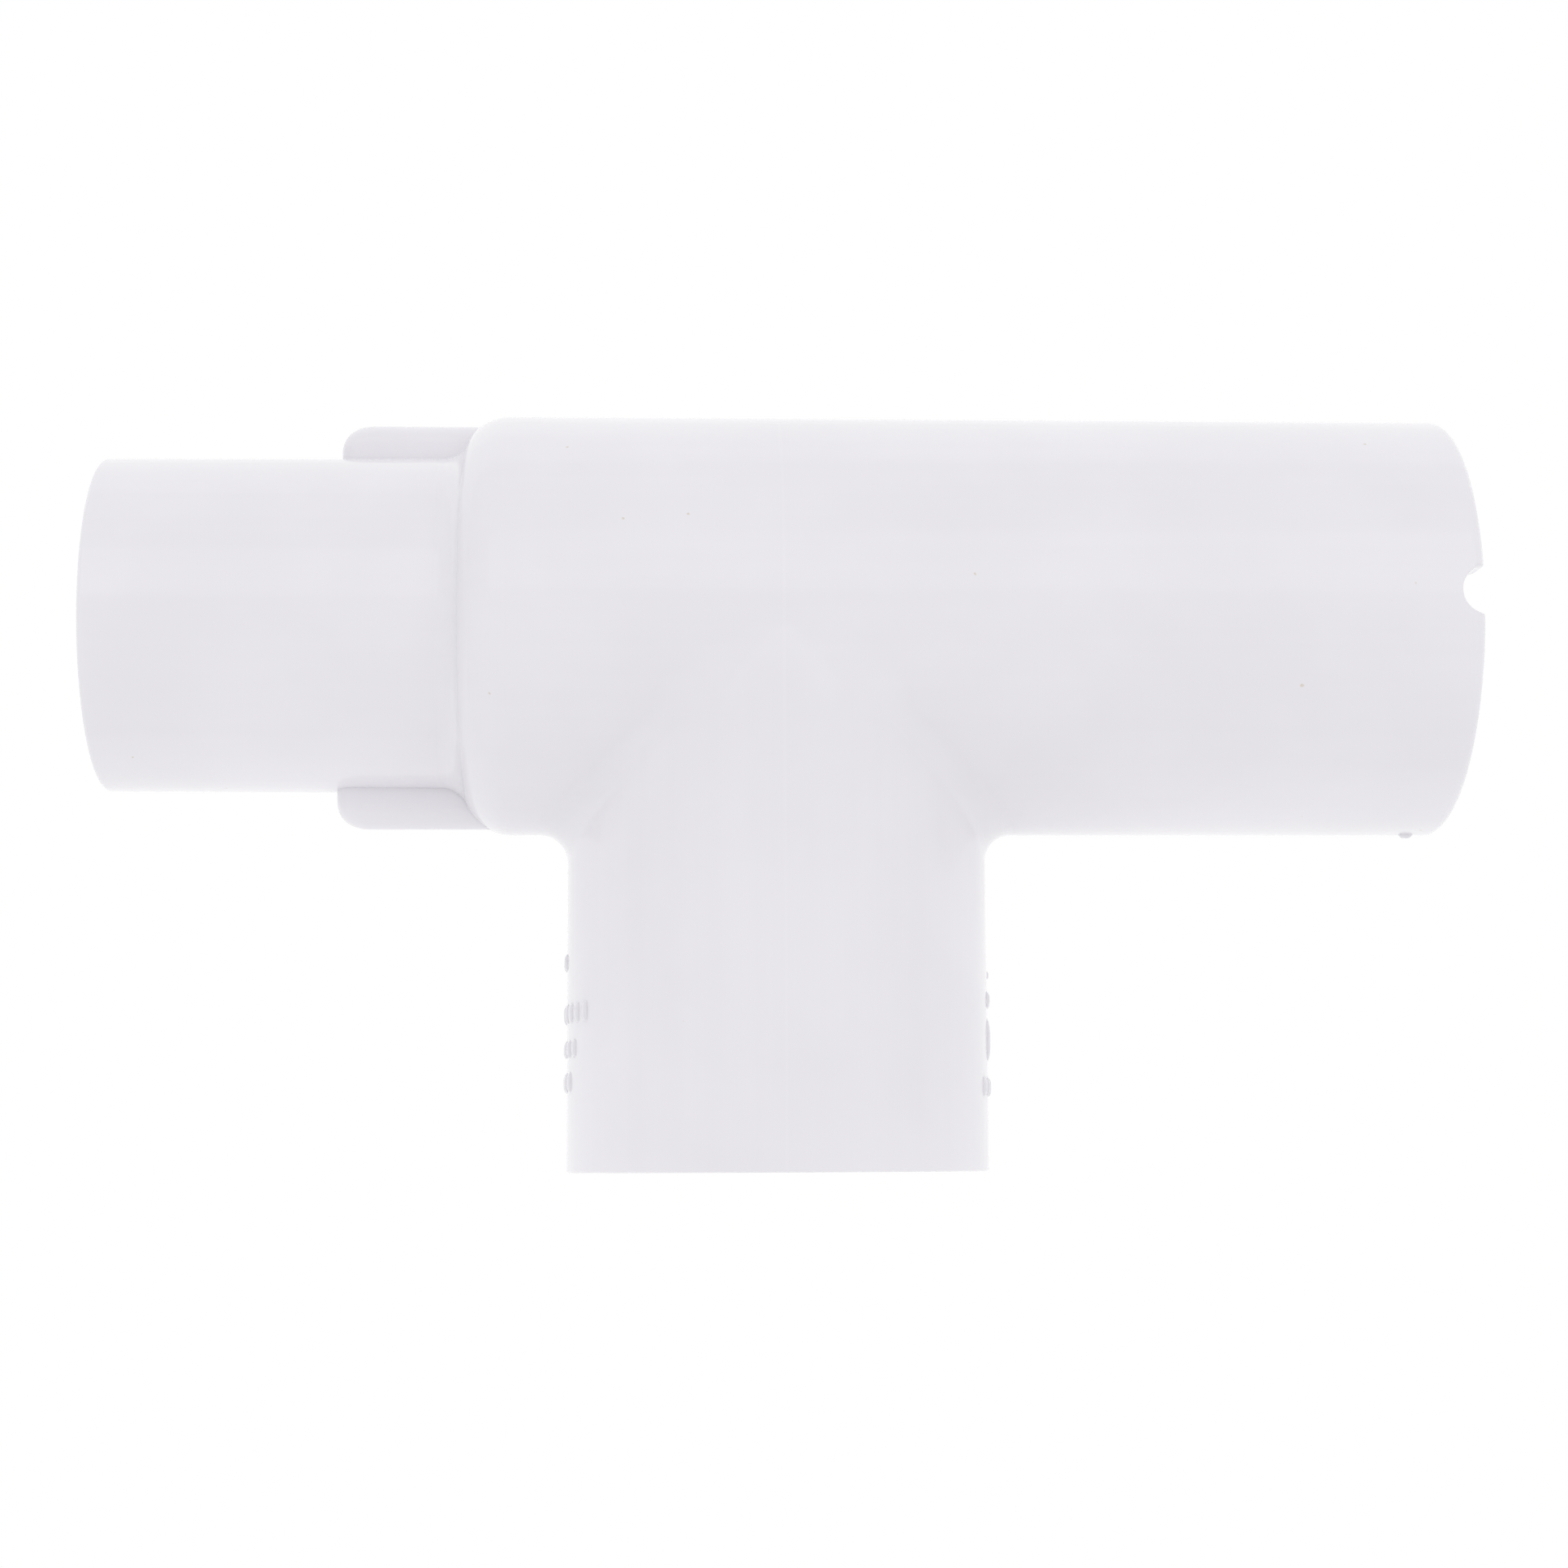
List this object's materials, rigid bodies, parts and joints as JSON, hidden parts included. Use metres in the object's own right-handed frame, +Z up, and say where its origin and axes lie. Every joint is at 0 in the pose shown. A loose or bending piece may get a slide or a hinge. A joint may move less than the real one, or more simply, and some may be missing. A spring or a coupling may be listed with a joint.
{
  "type": "tee fitting",
  "caption": "White PVC pipe tee: straight run with a notched socket end and a ribbed spigot end, and a plain socket branch at right angles.",
  "frame": {"origin": "centre of the branch rim, so the tee stands on its branch", "axes": "+X along the run towards the notched socket, -Y the side that the notch is on, +Z up along the branch towards the run"},
  "size_m": [0.1342, 0.0422, 0.0759],
  "materials": {
    "body_pvc": "glossy white moulded PVC",
    "spigot_pvc": "glossy white moulded PVC"
  },
  "bodies": {
    "root": {"tee_body": "body_pvc", "ribbed_spigot": "spigot_pvc"}
  },
  "joints": []
}
